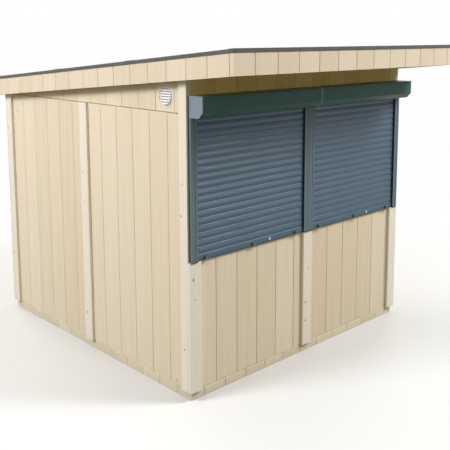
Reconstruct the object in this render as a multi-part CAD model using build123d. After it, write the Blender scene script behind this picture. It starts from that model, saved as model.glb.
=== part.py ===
from build123d import *
import math
import os

# Wooden market hut with a mono-pitch roof and two roller shutters in its front wall.
# Millimetres, +Z up. The origin is on the ground under the middle of the walls.
# The front, with the shutters, faces -Y, and the roof falls towards the back, +Y.

os.makedirs("parts", exist_ok=True)

# Body, measured over the wall boards
body_width = 2240.0
body_depth = 2380.0
board_thickness = 20.0
frame_thickness = 45.0

# Base
base_height = 57.0
deck_thickness = 19.0
bearer_width = 70.0
bearer_count = 5

# Walls
side_panel_top = 1880.0
sill_height = 955.0
opening_top = 1885.0
jamb_width = 60.0
mullion_width = 90.0
lintel_height = 95.0

# Cover boards at the corners and over the panel joints
trim_thickness = 21.0
trim_width = 97.0
front_trim_top = 935.0

# Roof
roof_front_height = 2299.0
roof_slope = 0.093
front_overhang = 482.0
back_overhang = 38.0
side_overhang = 72.0
felt_thickness = 4.0
felt_edge_height = 26.0
roof_board_thickness = 18.0
rafter_height = 95.0
rafter_width = 45.0
verge_rafter_width = 30.0
fascia_height = 158.0
fascia_thickness = 20.0

# Roller shutters
shutter_end_projection = 8.0
shutter_unit_gap = 2.0
shutter_bottom = 935.0
box_top = 2002.0
box_height = 137.0
box_depth = 139.0
box_chamfer = 38.0
box_sheet = 2.0
box_slot_clearance = 4.0
box_seam_drop = 9.0
box_seam_size = 1.2
cap_thickness = 8.0
cap_rim_width = 9.0
cap_recess = 2.0
cap_corner_radius = 3.0
seal_depth = 13.0
seal_inset = 3.0
rail_width = 53.0
rail_depth = 28.0
rail_groove_depth = 30.0
rail_wall = 2.0
rail_rib_width = 16.0
rail_rib_recess = 2.0
curtain_back = 6.0
slat_thickness = 9.0
slat_pitch = 47.0
slat_gap = 3.0
slat_gap_recess = 6.5
slat_lip_height = 7.0
slat_lip_recess = 1.5
slat_edge_recess = 5.0
groove_clearance = 0.5
bar_height = 38.0
bar_thickness = 13.0
bar_edge = 2.5
bar_seal_height = 5.0
bar_seal_inset = 2.0
stop_width = 44.0
stop_height = 22.0
stop_projection = 16.0
stop_edge_radius = 3.0
stop_lift = 6.0
stop_from_end = 132.0
lock_diameter = 20.0
lock_projection = 3.0
lock_edge = 0.8
lock_lift = 22.0
lock_from_middle = 157.0
curtain_in_box = 50.0

# Round ventilation grille in the left gable
vent_diameter = 150.0
vent_hole_diameter = 120.0
vent_from_front = 221.0
vent_height = 1990.0
vent_projection = 12.0
vent_flange_thickness = 2.5
vent_louvres = 7
vent_louvre_thickness = 2.0
vent_louvre_tilt = 40.0
vent_spine_width = 5.0
vent_blade_share = 1.1

# Places that follow from the sizes above
left = -body_width / 2
right = body_width / 2
front = -body_depth / 2
back = body_depth / 2
inner_left = left + board_thickness
inner_right = right - board_thickness
inner_front = front + board_thickness
inner_back = back - board_thickness
frame_left = inner_left + frame_thickness
frame_right = inner_right - frame_thickness
frame_front = inner_front + frame_thickness
frame_back = inner_back - frame_thickness
deck_top = base_height
deck_foot = deck_top - deck_thickness
roof_left = left - side_overhang
roof_right = right + side_overhang
roof_front = front - front_overhang
roof_back = back + back_overhang
fascia_left_face = roof_left + felt_thickness
fascia_right_face = roof_right - felt_thickness
fascia_front_face = roof_front + felt_thickness
fascia_back_face = roof_back - felt_thickness
deck_drop = felt_thickness + roof_board_thickness
rafter_drop = deck_drop + rafter_height
fascia_front_foot = roof_front_height - fascia_height
fascia_back_foot = roof_front_height - roof_slope * (fascia_back_face - roof_front) - fascia_height


def block(x0, x1, y0, y1, z0, z1):
    """A box between two corners."""
    return Pos(x0, y0, z0) * Box(x1 - x0, y1 - y0, z1 - z0, align=(Align.MIN, Align.MIN, Align.MIN))


def along_x(points, x0, x1):
    """A profile of (y, z) points, extruded from x0 to x1."""
    outline = Polyline(*[(x0, y, z) for y, z in points], close=True)
    return extrude(make_face(outline), amount=x1 - x0, dir=(1, 0, 0))


def roof_z(y, drop=0.0):
    """Height of the roof's top at depth y, less a drop measured straight down."""
    return roof_front_height - roof_slope * (y - roof_front) - drop


def roof_slab(x0, x1, y0, y1, top_drop, bottom_drop):
    """A slab that follows the roof's slope between two drops below its top."""
    return along_x(
        [
            (y0, roof_z(y0, bottom_drop)),
            (y1, roof_z(y1, bottom_drop)),
            (y1, roof_z(y1, top_drop)),
            (y0, roof_z(y0, top_drop)),
        ],
        x0,
        x1,
    )


def wall_slab(x0, x1, y0, y1, z0, top_drop):
    """An upright slab with a level foot and a top cut to the roof's slope."""
    return along_x(
        [(y0, z0), (y1, z0), (y1, roof_z(y1, top_drop)), (y0, roof_z(y0, top_drop))],
        x0,
        x1,
    )


def save(name, shape):
    export_step(shape, f"parts/{name}.step")


def many(solids):
    return Compound(children=list(solids))


# Base: bearers, floor boards and the skirt of short boards

def bearers():
    centres = [
        inner_left + bearer_width / 2 + i * (inner_right - inner_left - bearer_width) / (bearer_count - 1)
        for i in range(bearer_count)
    ]
    return many(
        block(x - bearer_width / 2, x + bearer_width / 2, inner_front, inner_back, 0, deck_foot)
        for x in centres
    )


save("floor_bearers", bearers())
save("floor_deck", block(inner_left, inner_right, inner_front, inner_back, deck_foot, deck_top))
save("base_skirt_front", block(left, right, front, inner_front, 0, base_height))
save("base_skirt_back", block(left, right, inner_back, back, 0, base_height))
save("base_skirt_left", block(left, inner_left, inner_front, inner_back, 0, base_height))
save("base_skirt_right", block(inner_right, right, inner_front, inner_back, 0, base_height))

# Roof timbers, needed first because the walls are notched round them


def rafters():
    inner_x = frame_right - rafter_width / 2
    y0 = fascia_front_face + fascia_thickness
    y1 = fascia_back_face - fascia_thickness
    pieces = [
        roof_slab(x - rafter_width / 2, x + rafter_width / 2, y0, y1, deck_drop, rafter_drop)
        for x in (-inner_x, -inner_x / 3, inner_x / 3, inner_x)
    ]
    for x0 in (
        fascia_left_face + fascia_thickness,
        fascia_right_face - fascia_thickness - verge_rafter_width,
    ):
        pieces.append(roof_slab(x0, x0 + verge_rafter_width, y0, y1, deck_drop, rafter_drop))
    return pieces


rafter_pieces = rafters()
save("rafters", many(rafter_pieces))


def notched(shape):
    for piece in rafter_pieces:
        shape = shape - piece
    return shape


# Side walls: two framed panels a side and a gable panel above their top seam


def side_frame_x(sign):
    """The side frame's two faces, low x first."""
    if sign < 0:
        return inner_left, frame_left
    return frame_right, inner_right


def side_board_x(sign):
    if sign < 0:
        return left, inner_left
    return inner_right, right


def side_panel(sign, half):
    """Boards of one side panel with a frame round its inner face."""
    board_x = side_board_x(sign)
    frame_x = side_frame_x(sign)
    if half == "front":
        y0, y1, f0, f1 = front, 0.0, frame_front, 0.0
    else:
        y0, y1, f0, f1 = 0.0, back, 0.0, frame_back
    panel = block(*board_x, y0, y1, base_height, side_panel_top)
    ring = block(*frame_x, f0, f1, deck_top, side_panel_top) - block(
        *frame_x,
        f0 + frame_thickness,
        f1 - frame_thickness,
        deck_top + frame_thickness,
        side_panel_top - frame_thickness,
    )
    return panel + ring


def side_gable(sign):
    board_x = side_board_x(sign)
    frame_x = side_frame_x(sign)
    gable = wall_slab(*board_x, front, back, side_panel_top, deck_drop)
    gable = gable + block(*frame_x, frame_front, frame_back, side_panel_top, side_panel_top + frame_thickness)
    gable = gable + roof_slab(*frame_x, frame_front, frame_back, deck_drop, deck_drop + frame_thickness)
    if sign < 0:
        hole = Cylinder(vent_hole_diameter / 2, 4 * board_thickness, rotation=(0, 90, 0))
        gable = gable - Pos(left, front + vent_from_front, vent_height) * hole
    return gable


for side_name, sign in (("left", -1), ("right", 1)):
    save(f"{side_name}_wall_front_panel", side_panel(sign, "front"))
    save(f"{side_name}_wall_back_panel", side_panel(sign, "back"))
    save(f"{side_name}_gable", side_gable(sign))

# Back wall: two framed panels, notched round the rafters at the top


def back_panel(x0, x1):
    boards = wall_slab(x0, x1, inner_back, back, base_height, deck_drop)
    ring = wall_slab(x0, x1, frame_back, inner_back, deck_top, deck_drop) - wall_slab(
        x0 + frame_thickness,
        x1 - frame_thickness,
        frame_back,
        inner_back,
        deck_top + frame_thickness,
        rafter_drop + frame_thickness,
    )
    return notched(boards + ring)


save("back_wall_left_panel", back_panel(inner_left, 0.0))
save("back_wall_right_panel", back_panel(0.0, inner_right))

# Front wall: two low panels, jambs, a mullion and the head above the shutters


def front_panel(x0, x1):
    boards = block(x0, x1, front, inner_front, base_height, sill_height)
    ring = block(x0, x1, inner_front, frame_front, deck_top, sill_height) - block(
        x0 + frame_thickness,
        x1 - frame_thickness,
        inner_front,
        frame_front,
        deck_top + frame_thickness,
        sill_height - frame_thickness,
    )
    return boards + ring


def front_post(x0, x1):
    return block(x0, x1, front, frame_front, sill_height, opening_top)


def front_head():
    boards = wall_slab(inner_left, inner_right, front, inner_front, opening_top, deck_drop)
    lintel = block(
        inner_left, inner_right, inner_front, frame_front, opening_top, opening_top + lintel_height
    )
    plate_foot = roof_z(front, rafter_drop) - frame_thickness
    plate = wall_slab(inner_left, inner_right, inner_front, frame_front, plate_foot, deck_drop)
    return notched(boards + lintel + plate)


save("front_wall_left_panel", front_panel(inner_left, 0.0))
save("front_wall_right_panel", front_panel(0.0, inner_right))
save(
    "front_jambs",
    many([front_post(inner_left, left + jamb_width), front_post(right - jamb_width, inner_right)]),
)
save("front_mullion", front_post(-mullion_width / 2, mullion_width / 2))
save("front_wall_head", front_head())

# Cover boards: one L at each corner and one over each panel joint


def corner_trim(side, end):
    """Side board and end board of one corner. side and end are -1 or 1."""
    x_face = left if side < 0 else right
    y_face = front if end < 0 else back
    x0, x1 = sorted((x_face, x_face + side * trim_thickness))
    y0, y1 = sorted((y_face, y_face - end * (trim_width - trim_thickness)))
    side_board = wall_slab(x0, x1, y0, y1, base_height, rafter_drop)
    end_x0, end_x1 = sorted((x_face + side * trim_thickness, x_face - side * (trim_width - trim_thickness)))
    end_y0, end_y1 = sorted((y_face, y_face + end * trim_thickness))
    if end < 0:
        end_board = block(end_x0, end_x1, end_y0, end_y1, base_height, front_trim_top)
    else:
        end_board = block(end_x0, end_x1, end_y0, end_y1, base_height, fascia_back_foot)
    return side_board + end_board


def side_batten(side):
    x_face = left if side < 0 else right
    x0, x1 = sorted((x_face, x_face + side * trim_thickness))
    return block(x0, x1, -trim_width / 2, trim_width / 2, base_height, side_panel_top)


save("corner_trim_front_left", corner_trim(-1, -1))
save("corner_trim_front_right", corner_trim(1, -1))
save("corner_trim_back_left", corner_trim(-1, 1))
save("corner_trim_back_right", corner_trim(1, 1))
save("joint_cover_left", side_batten(-1))
save("joint_cover_right", side_batten(1))
save(
    "joint_cover_front",
    block(-trim_width / 2, trim_width / 2, front - trim_thickness, front, base_height, front_trim_top),
)
save(
    "joint_cover_back",
    block(-trim_width / 2, trim_width / 2, back, back + trim_thickness, base_height, fascia_back_foot),
)

# Roof skin: boards, fascias and the felt with its turned-down edge


def end_fascia(y0, y1, foot):
    return wall_slab(fascia_left_face, fascia_right_face, y0, y1, foot, felt_thickness)


def felt():
    sheet = roof_slab(roof_left, roof_right, roof_front, roof_back, 0.0, felt_edge_height)
    under = roof_slab(
        fascia_left_face,
        fascia_right_face,
        fascia_front_face,
        fascia_back_face,
        felt_thickness,
        2 * felt_edge_height,
    )
    return sheet - under


save(
    "roof_boards",
    roof_slab(
        fascia_left_face + fascia_thickness,
        fascia_right_face - fascia_thickness,
        fascia_front_face + fascia_thickness,
        fascia_back_face - fascia_thickness,
        felt_thickness,
        deck_drop,
    ),
)
save("roof_felt", felt())
save("fascia_front", end_fascia(fascia_front_face, fascia_front_face + fascia_thickness, fascia_front_foot))
save("fascia_back", end_fascia(fascia_back_face - fascia_thickness, fascia_back_face, fascia_back_foot))
for side_name, x0 in (("left", fascia_left_face), ("right", fascia_right_face - fascia_thickness)):
    save(
        f"fascia_{side_name}",
        roof_slab(
            x0,
            x0 + fascia_thickness,
            fascia_front_face + fascia_thickness,
            fascia_back_face - fascia_thickness,
            felt_thickness,
            fascia_height,
        ),
    )

# Roller shutters, one unit on each side of the mullion

curtain_face = front - curtain_back - slat_thickness
groove_front = curtain_face - groove_clearance
groove_back = front - curtain_back + groove_clearance


def box_outline(shrink=0.0, back_face=front):
    """Outline of the shutter box as (y, z) points, clockwise from the low back corner."""
    top = box_top - shrink
    foot = box_top - box_height + shrink
    face = front - box_depth + shrink
    chamfer = box_chamfer - shrink * (2 - math.sqrt(2))
    return [
        (back_face - shrink, foot),
        (back_face - shrink, top),
        (face, top),
        (face, foot + chamfer),
        (face + chamfer, foot),
    ]


def shutter_box(x0, x1):
    """Folded sheet housing: hollow, with a slot for the curtain and a seam under its top edge."""
    shell = along_x(box_outline(), x0, x1) - along_x(box_outline(box_sheet), x0, x1)
    foot = box_top - box_height
    slot = block(
        x0,
        x1,
        groove_front - box_slot_clearance,
        groove_back + box_slot_clearance,
        foot - box_sheet,
        foot + 2 * box_sheet,
    )
    face = front - box_depth
    seam = block(
        x0,
        x1,
        face - box_seam_size,
        face + box_seam_size,
        box_top - box_seam_drop - box_seam_size,
        box_top - box_seam_drop,
    )
    return shell - slot - seam


def end_cap(x0, x1, outer_side):
    """Cast end plate. The outer one has a raised rim, and a seal strip set in behind it."""
    cap = along_x(box_outline(), x0, x1)
    cap = fillet(cap.edges().filter_by(Axis.X).group_by(Axis.Y)[0:2], cap_corner_radius)
    if outer_side == 0:
        return cap
    x_face = x0 if outer_side < 0 else x1
    recess = along_x(
        box_outline(cap_rim_width, front - seal_depth), x_face - cap_recess, x_face + cap_recess
    )
    seal_gap = block(
        x_face - seal_inset,
        x_face + seal_inset,
        front - seal_depth,
        front,
        box_top - box_height,
        box_top,
    )
    return cap - recess - seal_gap


def guide_rail(x_outer, direction, outer_side):
    """Hollow guide rail. direction points from its outer side to the curtain."""
    foot = shutter_bottom
    top = box_top - box_height

    def bar(a, b, y0, y1):
        x0, x1 = sorted((x_outer + direction * a, x_outer + direction * b))
        return block(x0, x1, y0, y1, foot, top)

    rail = bar(0, rail_width, front - rail_depth, front)
    rail = rail - bar(rail_width - rail_groove_depth, rail_width, groove_front, groove_back)
    rail = rail - bar(
        rail_wall,
        rail_width - rail_groove_depth - rail_wall,
        front - rail_depth + rail_rib_recess + rail_wall,
        front - rail_wall,
    )
    rib_start = (rail_width - rail_rib_width) / 2
    rail = rail - bar(
        rib_start,
        rib_start + rail_rib_width,
        front - rail_depth,
        front - rail_depth + rail_rib_recess,
    )
    if outer_side:
        rail = rail - bar(0, seal_inset, front - seal_depth, front)
    return rail


def curtain(x0, x1):
    """Slats as one profile with a flat back. Each has a lip at its foot, a crowned face and a gap above."""
    z0 = shutter_bottom + bar_height
    rows = int((box_top - box_height + curtain_in_box - z0) // slat_pitch)
    z_end = z0 + rows * slat_pitch
    y_back = front - curtain_back
    y_gap = curtain_face + slat_gap_recess
    y_lip = curtain_face + slat_lip_recess
    y_edge = curtain_face + slat_edge_recess
    edges = [Line((x0, y_back, z_end), (x0, y_back, z0)), Line((x0, y_back, z0), (x0, y_lip, z0))]
    for i in range(rows):
        foot = z0 + i * slat_pitch
        face_foot = foot + slat_lip_height
        face_top = foot + slat_pitch - slat_gap
        crown = (x0, curtain_face, (face_foot + face_top) / 2)
        if i > 0:
            edges.append(Line((x0, y_gap, foot - slat_gap), (x0, y_gap, foot)))
            edges.append(Line((x0, y_gap, foot), (x0, y_lip, foot)))
        edges.append(Line((x0, y_lip, foot), (x0, y_edge, face_foot)))
        edges.append(ThreePointArc((x0, y_edge, face_foot), crown, (x0, y_edge, face_top)))
        edges.append(Line((x0, y_edge, face_top), (x0, y_gap, face_top)))
    edges.append(Line((x0, y_gap, z_end - slat_gap), (x0, y_gap, z_end)))
    edges.append(Line((x0, y_gap, z_end), (x0, y_back, z_end)))
    return extrude(make_face(Wire(edges)), amount=x1 - x0, dir=(1, 0, 0))


def bar_knob(outline, x, z, y_face, projection):
    """An upright outline pushed forward out of the bottom bar's face, centred at x and z."""
    plane = Plane(origin=(x, y_face, z), x_dir=(1, 0, 0), z_dir=(0, -1, 0))
    return extrude(plane * outline, amount=projection)


def bottom_bar(x0, x1, stop_places, lock_place):
    """End bar under the slats, with an eased top, a seal set in at its foot, rounded stops and a lock."""
    y_back = front - curtain_back + (bar_thickness - slat_thickness) / 2
    y_face = y_back - bar_thickness
    foot = shutter_bottom
    top = shutter_bottom + bar_height
    bar = along_x(
        [
            (y_back, foot),
            (y_back, top),
            (y_face + bar_edge, top),
            (y_face, top - bar_edge),
            (y_face, foot + bar_seal_height),
            (y_face + bar_seal_inset, foot + bar_seal_height),
            (y_face + bar_seal_inset, foot),
        ],
        x0,
        x1,
    )
    stop_outline = SlotOverall(stop_width, stop_height)
    for x in stop_places:
        stop = bar_knob(stop_outline, x, foot + stop_lift + stop_height / 2, y_face, stop_projection)
        bar = bar + fillet(stop.edges().group_by(Axis.Y)[0], stop_edge_radius)
    lock = bar_knob(Circle(lock_diameter / 2), lock_place, foot + lock_lift, y_face, lock_projection)
    return bar + chamfer(lock.edges().group_by(Axis.Y)[0], lock_edge)


def shutter_unit(x0, x1, name, outer_side):
    """One roller shutter between x0 and x1. outer_side is -1 or 1, where its open end lies."""
    left_outer = outer_side if outer_side < 0 else 0
    right_outer = outer_side if outer_side > 0 else 0
    save(f"shutter_box_{name}", shutter_box(x0 + cap_thickness, x1 - cap_thickness))
    save(
        f"shutter_caps_{name}",
        many([end_cap(x0, x0 + cap_thickness, left_outer), end_cap(x1 - cap_thickness, x1, right_outer)]),
    )
    save(f"shutter_rails_{name}", many([guide_rail(x0, 1, left_outer), guide_rail(x1, -1, right_outer)]))
    reach = rail_width - rail_groove_depth + groove_clearance
    save(f"shutter_curtain_{name}", curtain(x0 + reach, x1 - reach))
    middle = (x0 + x1) / 2
    save(
        f"shutter_bottom_bar_{name}",
        bottom_bar(
            x0 + rail_width + groove_clearance,
            x1 - rail_width - groove_clearance,
            (x0 + stop_from_end, middle, x1 - stop_from_end),
            middle + lock_from_middle,
        ),
    )


shutter_unit(left - shutter_end_projection, -shutter_unit_gap / 2, "left", -1)
shutter_unit(shutter_unit_gap / 2, right + shutter_end_projection, "right", 1)

# Round vent


def vent():
    """Round grille, made lying down with its face up, then turned to face out of the left wall."""
    flange = Pos(0, 0, vent_flange_thickness / 2) * Cylinder(vent_diameter / 2, vent_flange_thickness)
    collar_radius = vent_hole_diameter / 2 + vent_flange_thickness
    collar = Pos(0, 0, vent_projection / 2) * Cylinder(collar_radius, vent_projection)
    bore = Pos(0, 0, vent_projection / 2) * Cylinder(vent_hole_diameter / 2, 2 * vent_projection)
    collar = fillet(collar.edges().group_by(Axis.Z)[-1], vent_flange_thickness)
    ring = flange + collar - bore
    reach_radius = collar_radius - vent_flange_thickness / 2
    inside = Pos(0, 0, vent_projection / 2) * Cylinder(reach_radius, vent_projection)
    pitch = vent_hole_diameter / vent_louvres
    blade_depth = vent_projection * vent_blade_share
    blade_length = vent_hole_diameter * vent_blade_share
    blade = Rot(0, vent_louvre_tilt, 0) * Box(blade_depth, blade_length, vent_louvre_thickness)
    for i in range(vent_louvres):
        x = (i + 0.5) * pitch - vent_hole_diameter / 2
        ring = ring + (Pos(x, 0, vent_projection / 2) * blade & inside)
    spine = Pos(0, 0, vent_flange_thickness / 2) * Box(
        2 * reach_radius, vent_spine_width, vent_flange_thickness
    )
    grille = ring + (spine & inside)
    return Pos(left, front + vent_from_front, vent_height) * Rot(0, -90, 0) * grille


save("vent_grille", vent())
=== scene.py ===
import math
import random

import bmesh
import bpy
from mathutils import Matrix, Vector

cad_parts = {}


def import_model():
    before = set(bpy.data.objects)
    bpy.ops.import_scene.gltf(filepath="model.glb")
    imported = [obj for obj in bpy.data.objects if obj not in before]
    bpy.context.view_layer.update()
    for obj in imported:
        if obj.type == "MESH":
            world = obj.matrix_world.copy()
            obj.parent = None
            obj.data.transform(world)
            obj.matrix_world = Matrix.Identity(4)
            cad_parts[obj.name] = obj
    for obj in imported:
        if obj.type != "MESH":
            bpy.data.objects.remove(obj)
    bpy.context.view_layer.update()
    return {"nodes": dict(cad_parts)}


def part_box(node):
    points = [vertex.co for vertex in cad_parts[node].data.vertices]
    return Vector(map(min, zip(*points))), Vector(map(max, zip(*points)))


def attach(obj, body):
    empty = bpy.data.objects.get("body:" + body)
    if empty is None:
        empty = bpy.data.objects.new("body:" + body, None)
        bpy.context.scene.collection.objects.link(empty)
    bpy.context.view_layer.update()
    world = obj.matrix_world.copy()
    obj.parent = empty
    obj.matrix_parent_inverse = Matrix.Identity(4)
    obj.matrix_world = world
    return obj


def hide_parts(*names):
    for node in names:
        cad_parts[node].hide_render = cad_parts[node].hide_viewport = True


# Looks of a wooden market hut: jointed boards, trims, felt, roller shutters and a round vent.
# Metres, +Z up. The front, with the shutters, faces -Y.

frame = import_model()
nodes = frame["nodes"]


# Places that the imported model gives

def low(node):
    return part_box(node)[0]


def high(node):
    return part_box(node)[1]


left = low("left_wall_front_panel").x
right = high("right_wall_front_panel").x
front = low("left_wall_front_panel").y
back = high("left_wall_back_panel").y
board = high("base_skirt_left").x - left
inner_left = left + board
inner_right = right - board
inner_front = front + board
inner_back = back - board
frame_left = high("left_wall_front_panel").x
frame_size = frame_left - inner_left
frame_right = inner_right - frame_size
frame_front = inner_front + frame_size
frame_back = inner_back - frame_size
base_top = high("base_skirt_left").z
panel_top = high("left_wall_front_panel").z
sill_top = high("front_wall_left_panel").z
head_foot = low("front_wall_head").z
trim_low, trim_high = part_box("joint_cover_left")
trim_width = trim_high.y - trim_low.y
trim_thickness = left - trim_low.x
front_trim_top = high("joint_cover_front").z
roof_low, roof_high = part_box("roof_felt")
fascia_low = low("fascia_front")
fascia_high = high("fascia_front")
fascia_thickness = fascia_high.y - fascia_low.y
fascia_back_y = high("fascia_back").y
fascia_back_foot = low("fascia_back").z
felt_thickness = fascia_low.x - roof_low.x
deck_left = fascia_low.x + fascia_thickness
deck_right = fascia_high.x - fascia_thickness
deck_front = fascia_low.y + fascia_thickness
deck_back = fascia_back_y - fascia_thickness
body_width = right - left
body_depth = back - front

# Sizes of the roof's layers. Drops are measured straight down from the felt's top.
felt_edge = 0.026
roof_slope = (roof_high.z - roof_low.z - felt_edge) / (roof_high.y - roof_low.y)
roof_board = 0.018
rafter_height = 0.095
rafter_width = 0.045
lintel_top = head_foot + rafter_height
verge_width = 0.030
deck_drop = felt_thickness + roof_board
rafter_drop = deck_drop + rafter_height
fascia_height = roof_high.z - fascia_low.z

# Boards
board_pitch = 0.1916
deck_pitch = 0.114
floor_pitch = 0.120
narrowest_board = 0.008
joint_half_width = 0.0034
joint_depth = 0.0024
joint_gap = 0.0014
tongue_depth = 0.0090
foot_chamfer = 0.0030
gable_seam = 0.0040
wall_seam = 0.0030
arris = 0.0015
sharp_angle = 50.0
rafter_clearance = 0.0005

# Where the first joint lies, as a share of a board's pitch from the front left corner of the walls
side_joints = 0.125
gable_joints = 0.73
skirt_side_joints = 0.78
skirt_end_joints = 0.585
front_joints = 0.15
fascia_side_joints = 0.69
fascia_end_joints = 0.54

# The same for the roof's and the floor's boards, but from the origin
deck_joints = 0.5


def roof_z(y, drop=0.0):
    """Height of the roof's top at depth y, less a drop measured straight down."""
    return roof_high.z - roof_slope * (y - roof_low.y) - drop


def to_roof(drop):
    """An end for an upright board that follows the roof's slope."""
    return lambda x, y: roof_z(y, drop)


# Camera, at the photograph's viewing angle

def camera():
    data = bpy.data.cameras.new("camera")
    data.lens = 58.09
    data.sensor_width = 36.0
    data.shift_x = -0.04
    data.shift_y = -0.19
    data.clip_start = 0.05
    data.clip_end = 200.0
    obj = bpy.data.objects.new("camera", data)
    obj.location = (-3.989, -4.6255, 2.3679)
    yaw = math.radians(44.17)
    pitch = math.radians(-8.15)
    obj.rotation_euler = (math.pi / 2 + pitch, 0, -yaw)
    bpy.context.scene.collection.objects.link(obj)
    bpy.context.scene.camera = obj


camera()


# Materials

def srgb(r, g, b):
    """A colour of 0 to 255 parts as the linear colour that Blender wants."""
    def part(c):
        c = c / 255
        return c / 12.92 if c <= 0.04045 else ((c + 0.055) / 1.055) ** 2.4
    return (part(r), part(g), part(b), 1.0)


class Nodes:
    """Short calls for building one material's nodes."""

    def __init__(self, owner):
        """owner is a name for a new material, or a world."""
        self.material = bpy.data.materials.new(owner) if isinstance(owner, str) else owner
        self.material.use_nodes = True
        self.tree = self.material.node_tree
        self.shader = self.tree.nodes.get("Principled BSDF")

    def add(self, kind, **values):
        node = self.tree.nodes.new(kind)
        for key, value in values.items():
            setattr(node, key, value)
        return node

    def join(self, source, target):
        self.tree.links.new(source, target)

    def feed(self, socket, value):
        """Links a socket to another, or sets its value."""
        if isinstance(value, bpy.types.NodeSocket):
            self.join(value, socket)
        else:
            socket.default_value = value

    def maths(self, operation, a, b=0.0, clamp=False):
        node = self.add("ShaderNodeMath", operation=operation, use_clamp=clamp)
        self.feed(node.inputs[0], a)
        self.feed(node.inputs[1], b)
        return node.outputs[0]

    def scaled(self, vector, scale):
        node = self.add("ShaderNodeVectorMath", operation="MULTIPLY")
        self.feed(node.inputs[0], vector)
        node.inputs[1].default_value = scale
        return node.outputs[0]

    def added(self, a, b):
        node = self.add("ShaderNodeVectorMath", operation="ADD")
        self.feed(node.inputs[0], a)
        self.feed(node.inputs[1], b)
        return node.outputs[0]

    def noise(self, vector, scale, detail=2.0, roughness=0.5, output="Fac"):
        node = self.add("ShaderNodeTexNoise")
        self.feed(node.inputs["Vector"], vector)
        node.inputs["Scale"].default_value = scale
        node.inputs["Detail"].default_value = detail
        node.inputs["Roughness"].default_value = roughness
        return node.outputs[output]

    def steps(self, value, low_in, high_in, low_out=0.0, high_out=1.0):
        node = self.add("ShaderNodeMapRange", interpolation_type="SMOOTHSTEP")
        self.feed(node.inputs["Value"], value)
        node.inputs["From Min"].default_value = low_in
        node.inputs["From Max"].default_value = high_in
        node.inputs["To Min"].default_value = low_out
        node.inputs["To Max"].default_value = high_out
        return node.outputs["Result"]

    def mix(self, amount, a, b):
        """Mixes two colours. The node's colour sockets are inputs 6 and 7 and output 2."""
        node = self.add("ShaderNodeMix", data_type="RGBA")
        self.feed(node.inputs[0], amount)
        self.feed(node.inputs[6], a)
        self.feed(node.inputs[7], b)
        return node.outputs[2]

    def length(self, vector):
        node = self.add("ShaderNodeVectorMath", operation="LENGTH")
        self.feed(node.inputs[0], vector)
        return node.outputs["Value"]

    def place(self, space="Object"):
        return self.add("ShaderNodeTexCoord").outputs[space]

    def seen(self):
        """1 for rays that show the background: from the camera, or by way of a gloss or glass."""
        path = self.add("ShaderNodeLightPath")
        direct = self.maths("MAXIMUM", path.outputs["Is Camera Ray"], path.outputs["Is Glossy Ray"])
        return self.maths("MAXIMUM", direct, path.outputs["Is Transmission Ray"])

    def bump(self, height, strength, distance):
        node = self.add("ShaderNodeBump")
        self.feed(node.inputs["Height"], height)
        node.inputs["Strength"].default_value = strength
        node.inputs["Distance"].default_value = distance
        self.join(node.outputs["Normal"], self.shader.inputs["Normal"])

    def surface(self, colour, roughness, **fixed):
        """Feeds the shader. The fixed values go straight onto its own sockets."""
        self.feed(self.shader.inputs["Base Color"], colour)
        self.feed(self.shader.inputs["Roughness"], roughness)
        for key, value in fixed.items():
            self.shader.inputs[key.replace("_", " ")].default_value = value
        return self.material


grain_axes = {"x": (1, 2, 0), "y": (2, 0, 1), "z": (0, 1, 2)}

# How much of wood's darker colour its rings, streaks and fibres and a board's own tone bring
ring_weight = 0.10
streak_weight = 0.22
fibre_weight = 0.09
tone_weight = 0.40
palest_tone = 0.2

# Wood's grain. Frequencies are across the grain, then along it.
ring_frequency = 380.0
ring_stretch = (1.0, 1.0, 0.012)
pith_wander = 0.09
drift_frequency = (1.5, 1.5, 0.9)
streak_frequency = (26.0, 26.0, 0.9)
fibre_frequency = (420.0, 420.0, 9.0)
knot_frequency = (5.0, 5.0, 2.4)
knot_core = 0.018
knot_rim = 0.042
knot_strength = 0.8


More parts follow.
